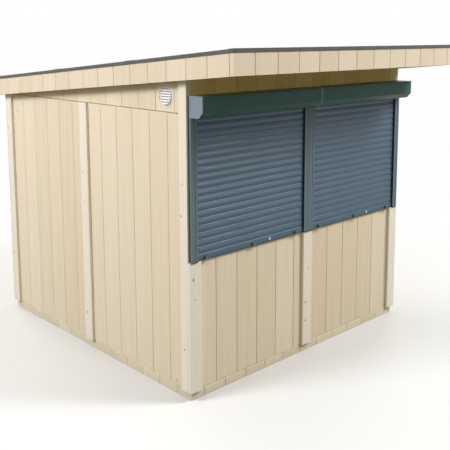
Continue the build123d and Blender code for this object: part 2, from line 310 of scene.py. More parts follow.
def wood(name, pale, dark, knot=None, streaks=1.0, axis=None, roughness=0.68):
    """Planed softwood. Its grain runs along the third part of the grain attribute, or an object's axis."""
    n = Nodes(name)
    if axis is None:
        grain = n.add("ShaderNodeAttribute", attribute_name="grain").outputs["Vector"]
        tone = n.add("ShaderNodeAttribute", attribute_name="tone").outputs["Fac"]
    else:
        parts = n.add("ShaderNodeSeparateXYZ")
        n.join(n.place(), parts.inputs[0])
        reordered = n.add("ShaderNodeCombineXYZ")
        for i, k in enumerate(grain_axes[axis]):
            n.join(parts.outputs[k], reordered.inputs[i])
        grain = reordered.outputs[0]
        tone = 0.5

    # Rings round a pith that wanders a little along the board
    drift = n.noise(n.scaled(grain, drift_frequency), 1.0, output="Color")
    wander = n.scaled(drift, (pith_wander, pith_wander, 0.0))
    from_pith = n.length(n.scaled(n.added(grain, wander), ring_stretch))
    rings = n.maths("SINE", n.maths("MULTIPLY", from_pith, ring_frequency))
    ring_share = n.steps(rings, -0.6, 1.0)

    # Long soft streaks and fine fibres
    broad = n.noise(n.scaled(grain, streak_frequency), 1.0, 3.0, 0.6)
    fibre = n.noise(n.scaled(grain, fibre_frequency), 1.0, 2.0, 0.6)
    amount = n.maths("MULTIPLY", ring_share, ring_weight * streaks)
    streak = n.maths("MULTIPLY", n.steps(broad, 0.30, 0.72), streak_weight * streaks)
    amount = n.maths("ADD", amount, streak)
    amount = n.maths("ADD", amount, n.maths("MULTIPLY", fibre, fibre_weight * streaks))
    own = n.maths("MULTIPLY", n.maths("SUBTRACT", tone, palest_tone), tone_weight)
    colour = n.mix(n.maths("ADD", amount, own, clamp=True), pale, dark)

    # A few small knots, long along the board
    if knot is not None:
        cells = n.add("ShaderNodeTexVoronoi")
        n.feed(cells.inputs["Vector"], n.scaled(grain, knot_frequency))
        cells.inputs["Scale"].default_value = 1.0
        spot = n.steps(cells.outputs["Distance"], knot_core, knot_rim, knot_strength, 0.0)
        colour = n.mix(spot, colour, knot)

    n.bump(n.maths("ADD", n.maths("MULTIPLY", ring_share, 0.4), fibre), 0.22, 0.0006)
    rough = n.steps(broad, 0.3, 0.8, roughness - 0.06, roughness + 0.06)
    return n.surface(colour, rough)


wall_knot = srgb(176, 146, 108)
trim_knot = srgb(150, 124, 96)
wall_wood = wood("wall_wood", srgb(233, 219, 196), srgb(206, 188, 155), wall_knot, streaks=0.65)
# The wall head's boards take the wall's wood painted more golden and brighter: painted bounce light for the
# shade under the roof's overhang.
head_wood_painted_bounce = wood("head_wood_painted_bounce", srgb(250, 226, 150), srgb(228, 196, 116))
trim_wood = wood("trim_wood", srgb(240, 232, 219), srgb(227, 214, 194), trim_knot, streaks=0.7)
fascia_wood = wood("fascia_wood", srgb(229, 214, 192), srgb(212, 193, 163), streaks=0.7)
base_wood = wood("base_wood", srgb(228, 216, 192), srgb(204, 189, 158), streaks=0.8)
frame_wood = wood("structural_wood", srgb(226, 196, 132), srgb(196, 160, 92), knot=srgb(120, 84, 48))
post_wood = wood("post_wood", srgb(214, 188, 140), srgb(178, 146, 92), axis="z")
bearer_wood = wood("bearer_wood", srgb(206, 182, 138), srgb(170, 142, 94), axis="y")


def felt_material():
    """Roofing felt with mineral chips pressed into it."""
    n = Nodes("roof_felt")
    place = n.place()
    chips = n.noise(place, 900.0, 1.0, 0.7)
    cloud = n.noise(place, 3.0, 4.0, 0.6)
    colour = n.mix(n.steps(chips, 0.35, 0.65), srgb(66, 66, 64), srgb(112, 111, 105))
    colour = n.mix(n.steps(cloud, 0.3, 0.75, 0.0, 0.35), colour, srgb(80, 80, 74))
    n.bump(chips, 0.6, 0.0012)
    return n.surface(colour, 0.93)


def paint(name, colour, worn, roughness=0.36, metallic=0.0, gloss=0.25):
    """Coated or bare metal, with a faint orange peel and dusty patches."""
    n = Nodes(name)
    place = n.place()
    cloud = n.noise(place, 4.0, 4.0, 0.6)
    peel = n.noise(place, 700.0, 1.0, 0.5)
    shade = n.mix(n.steps(cloud, 0.35, 0.75, 0.0, 0.5), colour, worn)
    n.bump(peel, 0.12, 0.0004)
    rough = n.steps(cloud, 0.3, 0.8, roughness - 0.05, roughness + 0.08)
    return n.surface(shade, rough, Metallic=metallic, Specular_IOR_Level=gloss)


def plastic(name, colour, worn, roughness=0.45):
    """Moulded plastic or rubber, with a fine grit."""
    n = Nodes(name)
    place = n.place()
    cloud = n.noise(place, 9.0, 3.0, 0.6)
    grit = n.noise(place, 1500.0, 1.0, 0.5)
    n.bump(grit, 0.15, 0.0003)
    return n.surface(n.mix(n.steps(cloud, 0.3, 0.8, 0.0, 0.6), colour, worn), roughness)


roof_felt = felt_material()
slat_paint = paint("shutter_slats", srgb(50, 80, 100), srgb(58, 88, 107), roughness=0.44, gloss=0.62)
# The housing's paint is the slats' paint made greener and lighter: painted green bounce light for the box's
# place in the overhang's shade.
housing_paint_shade_tinted = paint("shutter_housing", srgb(60, 98, 94), srgb(68, 105, 101), gloss=0.15)
rail_paint = paint("shutter_rails", srgb(96, 113, 122), srgb(104, 121, 129))
cap_paint = paint("shutter_caps", srgb(128, 142, 153), srgb(140, 152, 162), roughness=0.5)
bare_metal = paint("bare_aluminium", srgb(196, 200, 202), srgb(214, 217, 218), metallic=0.5, gloss=0.5)
zinc = paint("zinc_plated_steel", srgb(96, 95, 92), srgb(122, 120, 116), 0.5, metallic=0.6, gloss=0.5)
rubber = plastic("black_rubber", srgb(22, 26, 30), srgb(34, 38, 42), roughness=0.75)
stop_plastic = plastic("stop_plastic", srgb(70, 86, 78), srgb(80, 96, 88), roughness=0.55)
vent_plastic = plastic("vent_plastic", srgb(238, 237, 234), srgb(226, 224, 219))
screen_plastic = plastic("screen_plastic", srgb(222, 219, 224), srgb(210, 207, 212), roughness=0.7)


def knot_material():
    """A knot, mottled in two browns."""
    n = Nodes("knot_wood")
    cloud = n.noise(n.place(), 160.0, 3.0, 0.6)
    n.bump(cloud, 0.3, 0.0004)
    brown = n.mix(n.steps(cloud, 0.3, 0.7), srgb(176, 144, 108), srgb(132, 100, 70))
    return n.surface(brown, 0.6)


knot_wood = knot_material()


# Mesh building

class Pile:
    """Solids gathered into one mesh, each with its own grain and tone."""

    def __init__(self, seed):
        self.points = []
        self.faces = []
        self.grain = []
        self.tone = []
        self.chance = random.Random(seed)

    def add(self, solid, axis="z"):
        """Takes the solid in and frees it."""
        start = len(self.points)
        solid.verts.index_update()
        points = [v.co.copy() for v in solid.verts]
        centre = sum(points, Vector()) / len(points)
        u, v, w = grain_axes[axis]
        turn = self.chance.uniform(0, 2 * math.pi)
        reach = self.chance.uniform(0.03, 0.12)
        shift = Vector((reach * math.cos(turn), reach * math.sin(turn), self.chance.uniform(0, 40)))
        tone = self.chance.uniform(0, 1)
        for p in points:
            self.points.append(p)
            self.grain.append((p[u] - centre[u] + shift.x, p[v] - centre[v] + shift.y, p[w] + shift.z))
            self.tone.append(tone)
        self.faces.extend(tuple(start + corner.index for corner in f.verts) for f in solid.faces)
        solid.free()

    def piece(self, name, material, replaced=(), smooth_angle=None):
        """Makes the pile a piece of the hut."""
        mesh = bpy.data.meshes.new(name)
        mesh.from_pydata(self.points, [], self.faces)
        grain = mesh.attributes.new("grain", "FLOAT_VECTOR", "POINT")
        grain.data.foreach_set("vector", [c for g in self.grain for c in g])
        tone = mesh.attributes.new("tone", "FLOAT", "POINT")
        tone.data.foreach_set("value", self.tone)
        mesh.validate()
        mesh.materials.append(material)
        if smooth_angle is not None:
            mesh.polygons.foreach_set("use_smooth", [True] * len(mesh.polygons))
            mesh.set_sharp_from_angle(angle=math.radians(smooth_angle))
        obj = bpy.data.objects.new(name, mesh)
        bpy.context.scene.collection.objects.link(obj)
        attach(obj, "root")
        if replaced:
            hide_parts(*replaced)


def upright(u, v, w):
    """Outline in plan, height along z."""
    return (u, v, w)


def along_x(u, v, w):
    """Outline of y and z, length along x."""
    return (w, u, v)


def lying_x(u, v, w):
    """Outline of depth and drop below the roof's top, length along x."""
    return (w, u, roof_z(u, v))


def lying_y(u, v, w):
    """Outline of x and drop below the roof's top, length along y."""
    return (u, w, roof_z(w, v))


def loft(loops):
    """Closed solid through loops of equally many points."""
    solid = bmesh.new()
    rings = [[solid.verts.new(p) for p in loop] for loop in loops]
    solid.faces.new(rings[0])
    solid.faces.new(rings[-1])
    for one, two in zip(rings, rings[1:]):
        for i in range(len(one)):
            j = (i + 1) % len(one)
            solid.faces.new((one[i], one[j], two[j], two[i]))
    bmesh.ops.recalc_face_normals(solid, faces=solid.faces)
    return solid


def prism(outline, place, start, end):
    """Closed solid between two ends of an outline. An end is a number, or a function of (u, v)."""
    def loop(end_value):
        return [place(u, v, end_value(u, v) if callable(end_value) else end_value) for u, v in outline]
    return loft([loop(start), loop(end)])


def turned(profile, place, steps=16, stretch=1.0):
    """Closed solid of revolution through (radius, height) pairs. place makes a point of (u, v, height)."""
    turns = [2 * math.pi * i / steps for i in range(steps)]
    return loft([[place(r * math.cos(a), stretch * r * math.sin(a), h) for a in turns] for r, h in profile])


def on_left(x, y, z):
    """Places a small thing on an upright face that looks along -x."""
    return lambda u, v, h: (x - h, y + u, z + v)


def on_front(x, y, z):
    """Places a small thing on an upright face that looks along -y."""
    return lambda u, v, h: (x + u, y - h, z + v)


def rounded(width, height, radius, u=0.0, v=0.0, steps=4):
    """Outline of a rectangle with round corners about the point (u, v)."""
    points = []
    for k, (su, sv) in enumerate(((1, 1), (-1, 1), (-1, -1), (1, -1))):
        centre_u = u + su * (width / 2 - radius)
        centre_v = v + sv * (height / 2 - radius)
        for i in range(steps + 1):
            a = math.pi / 2 * (k + i / steps)
            points.append((centre_u + radius * math.cos(a), centre_v + radius * math.sin(a)))
    return points


def button(width, height, radius, rim, place):
    """A low button with round corners. rim gives (inset, height) pairs from its foot to its top."""
    loops = []
    for inset, h in rim:
        outline = rounded(width - 2 * inset, height - 2 * inset, radius - inset)
        loops.append([place(u, v, h) for u, v in outline])
    return loft(loops)


def bent_sheet(points, thickness, bend, steps=3):
    """Outline of a bent sheet. The points give its left side in order, and bend is where a bend starts."""
    points = [Vector(p) for p in points]
    path = [points[0]]
    for before, corner, after in zip(points, points[1:], points[2:]):
        a = corner + (before - corner).normalized() * bend
        b = corner + (after - corner).normalized() * bend
        for t in (i / steps for i in range(steps + 1)):
            path.append((1 - t) ** 2 * a + 2 * t * (1 - t) * corner + t * t * b)
    path.append(points[-1])
    runs = [(q - p).normalized() for p, q in zip(path, path[1:])]
    other = []
    for point, before, after in zip(path, [runs[0], *runs], [*runs, runs[-1]]):
        side = Vector((before.y + after.y, -before.x - after.x))
        other.append(point + side * thickness / (1 + before.dot(after)))
    return [tuple(p) for p in (*path, *reversed(other))]


def bevel(solid, edges, width, segments=1):
    bmesh.ops.bevel(solid, geom=edges, offset=width, segments=segments, affect="EDGES", clamp_overlap=True)
    return solid


def ease(solid, width, segments=1):
    """Bevels all sharp edges."""
    limit = math.radians(sharp_angle)
    sharp = [e for e in solid.edges if len(e.link_faces) == 2 and e.calc_face_angle(0) > limit]
    return bevel(solid, sharp, width, segments)


def rectangle(u0, u1, v0, v1):
    return [(u0, v0), (u1, v0), (u1, v1), (u0, v1)]


def post(xs, ys, foot, top, segments=2):
    """A timber between two x and two y, with eased edges."""
    return ease(prism(rectangle(*sorted(xs), *sorted(ys)), upright, foot, top), arris, segments)


def reach_of(solid):
    """Lowest and highest corner of a bmesh."""
    points = [v.co for v in solid.verts]
    return [[end(p[i] for p in points) for i in range(3)] for end in (min, max)]


def meet(one, two):
    """Whether the boxes of two bmeshes overlap."""
    a0, a1 = reach_of(one)
    b0, b1 = reach_of(two)
    return all(a0[i] < b1[i] and b0[i] < a1[i] for i in range(3))


def carve(solid, cutters):
    """The solid less each cutter that it meets. The cutters are bmeshes too, and stay."""
    cutters = [cutter for cutter in cutters if meet(solid, cutter)]
    if not cutters:
        return solid
    body = bpy.data.meshes.new("carved")
    solid.to_mesh(body)
    solid.free()
    target = bpy.data.objects.new("carved", body)
    bpy.context.scene.collection.objects.link(target)
    tools = []
    for cutter in cutters:
        tool_mesh = bpy.data.meshes.new("tool")
        cutter.to_mesh(tool_mesh)
        tool = bpy.data.objects.new("tool", tool_mesh)
        bpy.context.scene.collection.objects.link(tool)
        change = target.modifiers.new("cut", "BOOLEAN")
        change.operation = "DIFFERENCE"
        change.solver = "EXACT"
        change.object = tool
        tools.append(tool)
    graph = bpy.context.evaluated_depsgraph_get()
    result = bmesh.new()
    result.from_mesh(target.evaluated_get(graph).to_mesh())
    for extra in (target, *tools):
        mesh = extra.data
        bpy.data.objects.remove(extra)
        bpy.data.meshes.remove(mesh)
    return result


# Walls of tongued boards

class Face:
    """An upright side of a box. s runs along it from the walls' front left corner, and d runs inwards."""

    def __init__(self, side, lowest=Vector((left, front, 0)), highest=Vector((right, back, 0))):
        self.side = side
        self.lowest = lowest
        self.highest = highest

    def at(self, s, d):
        return {
            "left": (self.lowest.x + d, front + s),
            "right": (self.highest.x - d, front + s),
            "front": (left + s, self.lowest.y + d),
            "back": (left + s, self.highest.y - d),
        }[self.side]

    def depth(self, point):
        """How far in from its outer face a point lies."""
        return {
            "left": point.x - self.lowest.x,
            "right": self.highest.x - point.x,
            "front": point.y - self.lowest.y,
            "back": self.highest.y - point.y,
        }[self.side]


def spans(first_joint, start, stop, pitch=board_pitch):
    """Boards between start and stop, as (from, to, joint before, joint after)."""
    joints = []
    k = math.floor(start / pitch - first_joint)
    while (first_joint + k) * pitch < stop - narrowest_board:
        place = (first_joint + k) * pitch
        if place > start + narrowest_board:
            joints.append(place)
        k += 1
    ends = [start, *joints, stop]
    return [(a, b, i > 0, i < len(ends) - 2) for i, (a, b) in enumerate(zip(ends, ends[1:]))]


def board_outline(a, b, joint_a, joint_b, thickness):
    """Section of a board: a V at each joint on its face, and a straight gap down to the tongue."""
    def half(edge, inward, jointed):
        if jointed:
            return [
                (edge, thickness),
                (edge, tongue_depth),
                (edge + inward * joint_gap, tongue_depth),
                (edge + inward * joint_gap, joint_depth),
                (edge + inward * joint_half_width, 0.0),
            ]
        return [(edge, thickness), (edge, arris), (edge + inward * arris, 0.0)]
    return half(a, 1, joint_a) + half(b, -1, joint_b)[::-1]


def boards(pile, face, first_joint, start, stop, foot, top, cutters=()):
    """A row of boards on a wall face, chamfered across each end of the face."""
    shallow = 0.9 * joint_depth
    for a, b, joint_a, joint_b in spans(first_joint, start, stop):
        outline = [face.at(s, d) for s, d in board_outline(a, b, joint_a, joint_b, board)]
        solid = prism(outline, upright, foot, top)
        outer = [e for e in solid.edges if all(face.depth(v.co) < shallow for v in e.verts)]
        across = [e for e in outer if abs(e.verts[0].co.z - e.verts[1].co.z) < e.calc_length() / 2]
        pile.add(carve(bevel(solid, across, foot_chamfer), cutters))


def wall_ring(pile, side, s0, s1, foot, top):
    """Four timbers round the inner face of a wall panel."""
    face = Face(side)

    def timber(a, b, z0, z1):
        xs, ys = zip(face.at(a, board), face.at(b, board + frame_size))
        return post(xs, ys, z0, z1, segments=1)

    along = "y" if side in ("left", "right") else "x"
    pile.add(timber(s0, s0 + frame_size, foot, top))
    pile.add(timber(s1 - frame_size, s1, foot, top))
    pile.add(timber(s0 + frame_size, s1 - frame_size, foot, foot + frame_size), along)
    pile.add(timber(s0 + frame_size, s1 - frame_size, top - frame_size, top), along)


def rafter_solids():
    """Four rafters over the room, and one behind each side fascia."""
    outermost = frame_right - rafter_width / 2
    middles = (-outermost, -outermost / 3, outermost / 3, outermost)
    rows = [(x - rafter_width / 2, x + rafter_width / 2) for x in middles]
    rows.append((deck_left, deck_left + verge_width))
    rows.append((deck_right - verge_width, deck_right))
    sections = [rectangle(x0, x1, deck_drop, rafter_drop) for x0, x1 in rows]
    return [prism(section, lying_y, deck_front, deck_back) for section in sections]


rafters = rafter_solids()


def skirts():
    for side in ("left", "right", "front", "back"):
        pile = Pile(f"skirt {side}")
        if side in ("left", "right"):
            boards(pile, Face(side), skirt_side_joints, board, body_depth - board, 0.0, base_top)
        else:
            boards(pile, Face(side), skirt_end_joints, 0.0, body_width, 0.0, base_top)
        pile.piece(f"base_skirt_{side}_boards", base_wood, (f"base_skirt_{side}",))


def side_walls():
    for side in ("left", "right"):
        face = Face(side)
        half_way = body_depth / 2
        for half, s0, s1, f0, f1 in (
            ("front", 0.0, half_way, board + frame_size, half_way),
            ("back", half_way, body_depth, half_way, body_depth - board - frame_size),
        ):
            pile = Pile(f"{side} {half} wall")
            boards(pile, face, side_joints, s0, s1, base_top + wall_seam, panel_top)
            wall_ring(pile, side, f0, f1, base_top, panel_top)
            pile.piece(f"{side}_wall_{half}_boards", wall_wood, (f"{side}_wall_{half}_panel",))


vent_low, vent_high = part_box("vent_grille")
vent_y = (vent_low.y + vent_high.y) / 2
vent_z = (vent_low.z + vent_high.z) / 2
vent_hole = 0.120


def vent_cutter(steps=48):
    """A cylinder along x that cuts the vent's hole."""
    radius = vent_hole / 2
    turns = [2 * math.pi * i / steps for i in range(steps)]
    outline = [(vent_y + radius * math.cos(a), vent_z + radius * math.sin(a)) for a in turns]
    return prism(outline, along_x, left - 3 * board, left + 3 * board)


def gables():
    for side in ("left", "right"):
        face = Face(side)
        pile = Pile(f"{side} gable")
        holes = [vent_cutter()] if side == "left" else []
        boards(pile, face, gable_joints, 0.0, body_depth, panel_top + gable_seam, to_roof(deck_drop), holes)
        x0, x1 = (inner_left, frame_left) if side == "left" else (frame_right, inner_right)
        rail = prism(rectangle(x0, x1, frame_front, frame_back), upright, panel_top, panel_top + frame_size)
        top = prism(rectangle(x0, x1, deck_drop, deck_drop + frame_size), lying_y, frame_front, frame_back)
        pile.add(ease(rail, arris), "y")
        pile.add(ease(top, arris), "y")
        for hole in holes:
            hole.free()
        pile.piece(f"{side}_gable_boards", wall_wood, (f"{side}_gable",))


end_halves = (("left", board, body_width / 2), ("right", body_width / 2, body_width - board))


def back_wall():
    face = Face("back")
    for half, s0, s1 in end_halves:
        pile = Pile(f"back wall {half}")
        boards(pile, face, front_joints, s0, s1, base_top + wall_seam, to_roof(deck_drop), rafters)
        ring_top = roof_z(inner_back, rafter_drop)
        wall_ring(pile, "back", s0, s1, base_top, ring_top - rafter_clearance)
        plan = rectangle(left + s0, left + s1, frame_back, inner_back)
        filler = prism(plan, upright, ring_top, to_roof(deck_drop))
        pile.add(carve(filler, rafters), "x")
        pile.piece(f"back_wall_{half}_boards", wall_wood, (f"back_wall_{half}_panel",))


def front_wall():
    face = Face("front")
    for half, s0, s1 in end_halves:
        pile = Pile(f"front wall {half}")
        boards(pile, face, front_joints, s0, s1, base_top + wall_seam, sill_top)
        wall_ring(pile, "front", s0, s1, base_top, sill_top)
        pile.piece(f"front_wall_{half}_boards", wall_wood, (f"front_wall_{half}_panel",))
    pile = Pile("front wall head")
    boards(pile, face, front_joints, board, body_width - board, head_foot, to_roof(deck_drop), rafters)
    plate_foot = roof_z(front, rafter_drop) - frame_size
    plan = rectangle(inner_left, inner_right, inner_front, frame_front)
    lintel = prism(plan, upright, head_foot, lintel_top)
    plate = prism(plan, upright, plate_foot, to_roof(deck_drop))
    pile.add(ease(lintel, arris), "x")
    pile.add(carve(plate, rafters), "x")
    # The head boards get the wood that carries painted golden bounce light.
    pile.piece("front_wall_head_boards", head_wood_painted_bounce, ("front_wall_head",))


def corner_trims():
    """Two boards at each corner. The end board covers the side board's edge."""
    reach = trim_width - trim_thickness
    for side_name, side in (("left", -1), ("right", 1)):
        x_face = left if side < 0 else right
        for end_name, end in (("front", -1), ("back", 1)):
            y_face = front if end < 0 else back
            pile = Pile(f"trim {side_name} {end_name}")
            x_out = x_face + side * trim_thickness
            y_out = y_face + end * trim_thickness
            top = front_trim_top if end < 0 else fascia_back_foot
            pile.add(post((x_face, x_out), (y_face, y_face - end * reach), base_top, to_roof(rafter_drop)))
            pile.add(post((x_out, x_face - side * reach), (y_face, y_out), base_top, top))
            node = f"corner_trim_{end_name}_{side_name}"
            pile.piece(f"{node}_boards", trim_wood, (node,))


def joint_covers():
    for side in ("left", "right", "front", "back"):
        node = f"joint_cover_{side}"
        a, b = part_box(node)
        pile = Pile(node)
        pile.add(post((a.x, b.x), (a.y, b.y), a.z, b.z))
        pile.piece(f"{node}_board", trim_wood, (node,))


def roof_timbers():
    pile = Pile("rafters")
    for solid in rafters:
        pile.add(ease(solid.copy(), arris), "y")
    pile.piece("rafter_timbers", frame_wood, ("rafters",))

    pile = Pile("roof boards")
    for a, b, joint_a, joint_b in spans(deck_joints, deck_front, deck_back, deck_pitch):
        outline = [(y, deck_drop - d) for y, d in board_outline(a, b, joint_a, joint_b, roof_board)]
        pile.add(prism(outline, lying_x, deck_left, deck_right), "x")
    pile.piece("roof_deck_boards", frame_wood, ("roof_boards",))


def fascias():
    """Short upright boards round the roof's edge."""
    for side in ("left", "right", "front", "back"):
        node = f"fascia_{side}"
        a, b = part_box(node)
        face = Face(side, a, b)
        if side in ("left", "right"):
            rows = spans(fascia_side_joints, a.y - front, b.y - front)
            foot = to_roof(fascia_height)
        else:
            rows = spans(fascia_end_joints, a.x - left, b.x - left)
            foot = a.z
        pile = Pile(node)
        for s0, s1, joint_a, joint_b in rows:
            outline = [face.at(s, d) for s, d in board_outline(s0, s1, joint_a, joint_b, fascia_thickness)]
            pile.add(prism(outline, upright, foot, to_roof(felt_thickness)))
        pile.piece(f"{node}_boards", fascia_wood, (node,))


def floor_boards():
    a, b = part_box("floor_deck")
    pile = Pile("floor deck")
    for s0, s1, joint_a, joint_b in spans(deck_joints, a.y, b.y, floor_pitch):
        outline = [(s, b.z - d) for s, d in board_outline(s0, s1, joint_a, joint_b, b.z - a.z)]
        pile.add(prism(outline, along_x, a.x, b.x), "x")
    pile.piece("floor_deck_boards", frame_wood, ("floor_deck",))


skirts()
side_walls()
gables()
back_wall()
front_wall()
corner_trims()
joint_covers()
roof_timbers()
fascias()
floor_boards()
for solid in rafters:
    solid.free()


# Knots and brads on the trims

trim_left = left - trim_thickness
trim_front = front - trim_thickness

# Knots as (distance along the wall from its front left corner, height, half width, half height)
left_knots = (
    (0.046, 1.442, 0.005, 0.006),
    (0.061, 1.233, 0.006, 0.008),
    (0.041, 0.346, 0.006, 0.008),
    (1.207, 1.365, 0.005, 0.006),
    (1.202, 0.275, 0.006, 0.008),
    (1.197, 1.141, 0.004, 0.005),
    (2.373, 0.497, 0.006, 0.008),
    (2.366, 1.588, 0.006, 0.008),
)
front_knots = (
    (0.009, 0.824, 0.006, 0.013),
    (0.023, 0.689, 0.004, 0.005),
    (1.134, 0.651, 0.005, 0.006),
    (1.100, 0.389, 0.006, 0.008),
    (1.100, 0.247, 0.006, 0.008),
)

brad_head = ((0.0018, -0.0020), (0.0018, 0.0001), (0.0014, 0.0003))
brad_inset = 0.018
brad_rows = 6
brad_first = 0.09
brad_pitch = 0.30


def knots():
    """Knots as low domes with an oval rim."""
    for side, rows in (("left", left_knots), ("front", front_knots)):
        pile = Pile(f"knots {side}")
        for s, z, across, up in rows:
            place = on_left(trim_left, front + s, z) if side == "left" else on_front(left + s, trim_front, z)
            rim = [(across, -0.0015), (across, 0.0001), (0.8 * across, 0.0003), (0.3 * across, 0.0004)]
            pile.add(turned(rim, place, stretch=up / across))
        pile.piece(f"trim_knots_{side}", knot_wood, smooth_angle=40)


def brads():
    """Small nail heads in pairs down each trim on the left and the front, just proud of its face."""
    pile = Pile("brads")
    reach = trim_width / 2 - brad_inset
    from_corner = trim_width / 2 - trim_thickness

    def pairs(*middles):
        return [middle + shift for middle in middles for shift in (-reach, reach)]

    along_side = pairs(front + from_corner, (front + back) / 2, back - from_corner)
    along_front = pairs(left + from_corner, 0.0, right - from_corner)
    for row in range(brad_rows):
        z = base_top + brad_first + brad_pitch * row
        for y in along_side:
            pile.add(turned(brad_head, on_left(trim_left, y, z), steps=8))
        if z < sill_top:
            for x in along_front:
                pile.add(turned(brad_head, on_front(x, trim_front, z), steps=8))
    pile.piece("trim_brads", zinc, smooth_angle=40)


knots()
brads()


# Roofing felt: sheets laid across, each lapped over the one behind it, turned down and nailed

nail_rise = 0.0010
felt_skin = nail_rise + 0.0006
felt_sheet = 0.0022
felt_sheets = 3
felt_lap = 0.080
felt_ramp = 0.050
felt_lift = 0.0024
felt_roll = 0.920
felt_base = 0.0016
felt_bend = 0.004
lap_spread = 0.1
strip_width = 0.050
strip_sheet = felt_sheet / 2 + 0.0004
strip_inset = 0.0002
nail_head = ((0.0035, -0.0010), (0.0035, 0.0002), (0.0030, 0.0007), (0.0016, nail_rise))
nail_drop = 0.55 * felt_edge
nail_from_lap = 0.015
nails_across = 24
nails_along = 29


def felt():
    x0, x1 = roof_low.x + felt_skin, roof_high.x - felt_skin
    y0, y1 = roof_low.y + felt_skin, roof_high.y - felt_skin
    pile = Pile("felt")

    def section(y, lift):
        """Section across the roof: over the top and down each side."""
        out = lap_spread * lift
        edge = felt_edge - out
        top = felt_base - lift
        path = [(x1 + out, edge), (x1 + out, top), (x0 - out, top), (x0 - out, edge)]
        return [(x, y, roof_z(y, drop)) for x, drop in bent_sheet(path, felt_sheet, felt_bend)]

    foot = y1
    for sheet in range(felt_sheets):
        top = y0 if sheet == felt_sheets - 1 else foot - felt_roll - felt_lap
        lift = 0.0 if sheet == 0 else felt_lift
        stations = [(foot, lift), (foot - felt_lap, lift), (foot - felt_lap - felt_ramp, 0.0), (top, 0.0)]
        pile.add(loft([section(y, rise) for y, rise in stations]), "y")
        foot = top + felt_lap
    for edge, inward in ((y0, 1), (y1, -1)):
        level = felt_base - felt_sheet / 2
        path = [(edge + inward * strip_width, level), (edge, level), (edge, felt_edge)]
        if inward < 0:
            path.reverse()
        strip = bent_sheet(path, strip_sheet, felt_bend)
        pile.add(prism(strip, lying_x, x0 + strip_inset, x1 - strip_inset), "x")
    pile.piece("roof_felt_sheets", roof_felt, ("roof_felt",), smooth_angle=40)
    felt_nails(x0, x1, y0, y1)


def felt_nails(x0, x1, y0, y1):
    """Clout nails round the turned edge and along each lap."""
    pile = Pile("felt nails")

    def nail(place):
        pile.add(turned(nail_head, place, steps=10))

    for i in range(nails_across):
        x = x0 + (x1 - x0) * (i + 0.5) / nails_across
        for y, look in ((y0, -1), (y1, 1)):
            z = roof_z(y, nail_drop)
            nail(lambda u, v, h: (x + u, y + look * h, z + v))
    for i in range(nails_along):
        y = y0 + (y1 - y0) * (i + 0.5) / nails_along
        z = roof_z(y, nail_drop)
        for x, look in ((x0, -1), (x1, 1)):
            nail(lambda u, v, h: (x + look * h, y + u, z + v))
    for lap in range(1, felt_sheets):
        y = y1 - lap * felt_roll - nail_from_lap
        for i in range(2 * nails_across):
            x = x0 + (x1 - x0) * (i + 0.5) / (2 * nails_across)
            nail(lambda u, v, h: (x + u, y + v, roof_z(y + v, felt_base - felt_lift - h)))
    pile.piece("felt_nails", zinc, smooth_angle=50)


felt()


# Roller shutters

slat_pitch = 0.047
slat_lip = 0.0070
slat_face_top = 0.0440
slat_edge_recess = 0.0050
crown_steps = 10
slat_play = 0.0002
bar_seal = 0.0050
bar_seal_inset = 0.0020
bar_seal_edge = 0.0015
bar_edge = 0.0025
bar_clearance = 0.0005
stop_projection = 0.016
stop_size = (0.044, 0.022)
stop_radius = 0.0060
stop_middle = 0.017
stop_from_end = 0.132
lock_middle = 0.022
lock_from_middle = 0.157
lock_profile = ((0.0100, 0.0), (0.0100, 0.0022), (0.0092, 0.0030), (0.0078, 0.0030), (0.0074, 0.0024))
keyhole_size = (0.0014, 0.0072)
keyhole_radius = 0.0006
keyhole_rim = ((0.0, 0.0020), (0.0, 0.00265))
rail_width = 0.053
flap_thickness = 0.0012
flap_setback = 0.0008
flap_clearance = 0.0002
groove_setback = 0.004
foot_wrap = 0.0006
foot_height = 0.005
foot_bend = 0.001
seal_inset = 0.003
seal_depth = 0.013
seal_clearance = 0.0004
seal_bevel = 0.0006
box_sheet = 0.002
box_bend = 0.004
box_chamfer = 0.038
seam_drop = 0.009
seam_gap = 0.0014
slot_front = 0.0195
slot_back = 0.0015
plug_size = (0.026, 0.012)
plug_radius = 0.0058
plug_rim = ((0.0, -0.0010), (0.0, 0.0008), (0.0008, 0.0014), (0.0022, 0.0014), (0.0028, 0.0006))
plug_from_end = 0.045


def slat_section():
    """A slat as (depth behind its crown, height above its foot): lip, crown, hook for the next slat, back."""
    lip = [
        (0.0058, 0.0),
        (0.0026, 0.0),
        (0.0017, 0.0005),
        (0.0015, 0.0014),
        (0.0018, 0.0028),
        (0.0028, 0.0048),
        (0.0042, 0.0064),
    ]
    crown = []
    for i in range(crown_steps + 1):
        share = i / crown_steps
        crown.append((slat_edge_recess * (2 * share - 1) ** 2, slat_lip + (slat_face_top - slat_lip) * share))
    hook = [(0.0064, 0.0440), (0.0064, 0.0515), (0.0076, 0.0515), (0.0076, 0.0444)]
    back_skin = [(0.0090, 0.0440), (0.0090, 0.0), (0.0082, 0.0), (0.0082, 0.0060), (0.0058, 0.0060)]
    return lip + crown + hook + back_skin


def curtain(name):
    node = f"shutter_curtain_{name}"
    a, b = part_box(node)
    pile = Pile(node)
    for row in range(round((b.z - a.z) / slat_pitch)):
        y = a.y + pile.chance.uniform(-slat_play, 2 * slat_play)
        z = a.z + slat_pitch * row + pile.chance.uniform(-slat_play, slat_play)
        pile.add(prism(slat_section(), lambda d, h, x: (x, y + d, z + h), a.x, b.x), "x")
    pile.piece(f"{node}_slats", slat_paint, (node,), smooth_angle=35)


